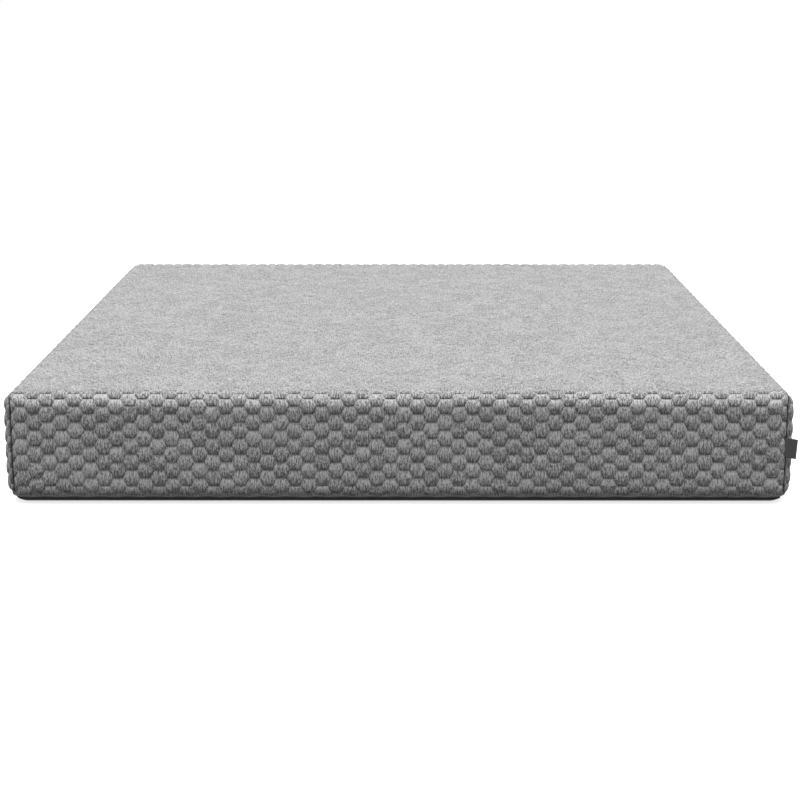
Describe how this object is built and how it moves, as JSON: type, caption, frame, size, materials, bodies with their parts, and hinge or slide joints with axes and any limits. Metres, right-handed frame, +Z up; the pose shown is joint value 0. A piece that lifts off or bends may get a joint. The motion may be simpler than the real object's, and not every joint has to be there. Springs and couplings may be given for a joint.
{
  "type": "memory foam mattress",
  "caption": "Rectangular memory foam mattress in a quilted honeycomb knit cover that zips off round the bottom edge.",
  "frame": {"origin": "on the floor under the middle of the bed, at the flat underside", "axes": "+X across the bed to the side with the corner tag, +Y along the bed from the foot end to the head end, +Z up to the sleeping surface"},
  "size_m": [1.9412, 2.0328, 0.28],
  "materials": {
    "honeycomb_knit": "heathered quilted knit",
    "polyester_wadding": "soft fibre wadding",
    "nonwoven_backing": "spun nonwoven",
    "polyester_binding": "woven binding",
    "grip_knit": "dark knit with grip dots",
    "zip_tape": "woven tape",
    "nylon_coil": "moulded nylon",
    "zinc_alloy": "satin plated",
    "black_satin": "satin ribbon",
    "label_cloth": "plain label cloth",
    "fire_barrier_knit": "fine white knit",
    "memory_foam": "open-cell foam",
    "comfort_foam": "open-cell foam",
    "transition_foam": "open-cell foam",
    "base_foam": "open-cell foam"
  },
  "bodies": {
    "mattress": {"top_cover_panel": "honeycomb_knit", "left_cover_panel": "honeycomb_knit", "right_cover_panel": "honeycomb_knit", "top_quilt_wadding": "polyester_wadding", "left_quilt_wadding": "polyester_wadding", "right_quilt_wadding": "polyester_wadding", "top_quilt_backing": "nonwoven_backing", "left_quilt_backing": "nonwoven_backing", "right_quilt_backing": "nonwoven_backing", "left_seam_binding": "polyester_binding", "right_seam_binding": "polyester_binding", "bottom_cover": "grip_knit", "zip_tape_upper": "zip_tape", "zip_tape_lower": "zip_tape", "zip_coil_upper": "nylon_coil", "zip_coil_lower": "nylon_coil", "zip_stop_open": "zinc_alloy", "zip_stop_closed": "zinc_alloy", "corner_tag": "black_satin", "care_label": "label_cloth", "fire_barrier_sock": "fire_barrier_knit", "fire_barrier_base": "fire_barrier_knit", "memory_foam_layer": "memory_foam", "comfort_foam_layer": "comfort_foam", "transition_foam_layer": "transition_foam", "base_foam_core": "base_foam"},
    "slider": {"zip_slider": "zinc_alloy"},
    "pull": {"zip_pull": "zinc_alloy"}
  },
  "joints": [
    {"name": "zip_slide", "type": "slide", "parent": "mattress", "child": "slider", "axis": [1, 0, 0], "range_m": [0, 1.68]},
    {"name": "pull_swing", "type": "hinge", "parent": "slider", "child": "pull", "pos_m": [-0.7806, 1.00456, 0.01764], "axis": [0, 0.6428, 0.766], "range_deg": [-85, 85]}
  ]
}
